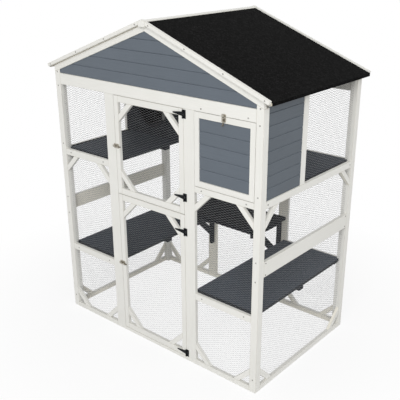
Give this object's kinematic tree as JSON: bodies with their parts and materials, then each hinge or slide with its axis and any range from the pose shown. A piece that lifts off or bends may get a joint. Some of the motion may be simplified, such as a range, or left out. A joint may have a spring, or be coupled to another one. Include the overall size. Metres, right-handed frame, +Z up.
{
  "type": "cat house",
  "caption": "Timber outdoor cat house: wire-netted post-and-rail cage, felt gable roof, boarded sleeping boxes, decks, hinged net doors and a drop-down hatch.",
  "frame": {"origin": "on the floor under the middle of the house", "axes": "+X to the right as seen from the doors, +Y to the back, +Z up"},
  "size_m": [1.504, 0.906, 1.803],
  "materials": {
    "white_paint": "satin paint",
    "slate_paint": "satin paint",
    "grey_paint": "matt paint",
    "bare_board": "primed board",
    "roof_felt": "mineral felt",
    "net_wire": "galvanised",
    "hinge_metal": "black",
    "bolt_metal": "zinc plated"
  },
  "bodies": {
    "frame": {"barge_strips": "white_paint", "bolt_keepers": "bolt_metal", "deck_battens": "grey_paint", "door_jambs": "white_paint", "eave_plates": "white_paint", "front_box_entry_wall": "grey_paint", "front_box_side_wall": "grey_paint", "front_braces": "white_paint", "front_gable_boards": "slate_paint", "front_nets": "net_wire", "front_posts": "white_paint", "front_rails": "white_paint", "hinge_pins": "hinge_metal", "hinge_plates": "hinge_metal", "left_lower_deck": "grey_paint", "left_upper_deck": "grey_paint", "left_wall_siding": "slate_paint", "middle_shelf": "grey_paint", "rake_boards": "white_paint", "rear_box_entry_wall": "grey_paint", "rear_box_side_wall": "grey_paint", "rear_box_siding": "slate_paint", "rear_braces": "white_paint", "rear_gable_boards": "slate_paint", "rear_nets": "net_wire", "rear_posts": "white_paint", "rear_rails": "white_paint", "rear_studs": "white_paint", "ridge_cap": "white_paint", "ridge_end_blocks": "white_paint", "right_lower_deck": "grey_paint", "right_upper_deck": "grey_paint", "right_wall_siding": "slate_paint", "roof_decks": "bare_board", "roof_felts": "roof_felt", "shelf_brackets": "white_paint", "side_braces": "white_paint", "side_lower_nets": "net_wire", "side_rails": "white_paint", "side_studs": "white_paint", "side_upper_nets": "net_wire", "top_beams": "white_paint"},
    "upper_door": {"upper_door_frame": "white_paint", "upper_door_net": "net_wire", "upper_door_hinge_straps": "hinge_metal", "upper_door_bolt_guide": "bolt_metal"},
    "upper_bolt": {"upper_door_bolt": "bolt_metal"},
    "lower_door": {"lower_door_frame": "white_paint", "lower_door_net": "net_wire", "lower_door_hinge_straps": "hinge_metal", "lower_door_bolt_guide": "bolt_metal"},
    "lower_bolt": {"lower_door_bolt": "bolt_metal"},
    "hatch": {"hatch_frame": "white_paint", "hatch_boards": "slate_paint", "hatch_pins": "bolt_metal", "hatch_bolt_guide": "bolt_metal"},
    "hatch_latch": {"hatch_bolt": "bolt_metal"}
  },
  "joints": [
    {"name": "upper_door_swing", "type": "hinge", "parent": "frame", "child": "upper_door", "pos_m": [0.243, -0.4394, 1.14], "axis": [0, 0, 1], "range_deg": [0, 95]},
    {"name": "upper_bolt_slide", "type": "slide", "parent": "upper_door", "child": "upper_bolt", "axis": [-1, 0, 0], "range_m": [0, 0.011]},
    {"name": "lower_door_swing", "type": "hinge", "parent": "frame", "child": "lower_door", "pos_m": [0.243, -0.4394, 0.44], "axis": [0, 0, 1], "range_deg": [0, 95]},
    {"name": "lower_bolt_slide", "type": "slide", "parent": "lower_door", "child": "lower_bolt", "axis": [-1, 0, 0], "range_m": [0, 0.011]},
    {"name": "hatch_drop", "type": "hinge", "parent": "frame", "child": "hatch", "pos_m": [0.49, -0.43, 1.045], "axis": [1, 0, 0], "range_deg": [0, 105]},
    {"name": "hatch_bolt_slide", "type": "slide", "parent": "hatch", "child": "hatch_latch", "axis": [0, 0, 1], "range_m": [0, 0.011]}
  ]
}
